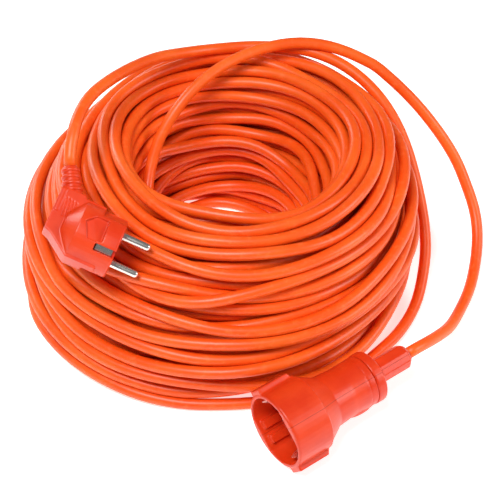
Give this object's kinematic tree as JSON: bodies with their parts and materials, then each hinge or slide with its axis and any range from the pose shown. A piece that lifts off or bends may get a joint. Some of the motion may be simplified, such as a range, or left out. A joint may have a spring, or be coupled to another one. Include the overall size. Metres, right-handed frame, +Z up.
{
  "type": "extension cord",
  "caption": "Coiled round orange mains extension cord with an angled two-pin earthed plug and a round in-line socket with sprung earth contacts.",
  "frame": {"origin": "on the floor plane, under the middle of the box round the plug and the socket", "axes": "+Z up from the floor, +X to the right as the coil is seen with the socket in front, +Y towards the back of the coil"},
  "size_m": [0.3276, 0.3339, 0.1607],
  "materials": {
    "cable_jacket": "satin PVC cable jacket, bright orange",
    "orange_moulding": "satin moulded PVC, red-orange",
    "carrier_plastic": "matt moulded plastic, red-orange",
    "nickel": "nickel-plated brass, lightly brushed",
    "brass": "plain brass",
    "core_brown": "brown core insulation",
    "core_blue": "blue core insulation",
    "core_green_yellow": "green and yellow core insulation"
  },
  "bodies": {
    "root": {"plug_body": "orange_moulding", "plug_bridge": "carrier_plastic", "plug_bend_relief": "orange_moulding", "plug_pin_live": "nickel", "plug_crimp_live": "brass", "plug_pin_neutral": "nickel", "plug_crimp_neutral": "brass", "plug_earth_strap": "nickel", "plug_earth_socket": "brass", "plug_crimp_earth": "brass", "plug_core_live": "core_brown", "plug_core_neutral": "core_blue", "plug_core_earth": "core_green_yellow", "connector_body": "orange_moulding", "connector_insert": "carrier_plastic", "connector_collar": "orange_moulding", "connector_boot": "orange_moulding", "connector_contact_live": "nickel", "connector_crimp_live": "brass", "connector_core_live": "core_brown", "connector_contact_neutral": "nickel", "connector_crimp_neutral": "brass", "connector_core_neutral": "core_blue", "connector_crimp_earth": "brass", "connector_core_earth": "core_green_yellow", "connector_earth_strap": "nickel", "cord_coil": "cable_jacket", "cord_plug_lead": "cable_jacket", "cord_connector_lead": "cable_jacket"},
    "earth_leaf_lower": {"earth_leaf_lower": "nickel"},
    "earth_leaf_upper": {"earth_leaf_upper": "nickel"}
  },
  "joints": [
    {"name": "earth_leaf_lower_flex", "type": "hinge", "parent": "root", "child": "earth_leaf_lower", "pos_m": [0.05074, -0.05438, 0.01375], "axis": [0.3737, -0.5013, 0.7804], "range_deg": [0, 8], "stiffness_Nm_per_rad": 0.2},
    {"name": "earth_leaf_upper_flex", "type": "hinge", "parent": "root", "child": "earth_leaf_upper", "pos_m": [0.03209, -0.02935, 0.03875], "axis": [-0.3737, 0.5013, -0.7804], "range_deg": [0, 8], "stiffness_Nm_per_rad": 0.2}
  ]
}
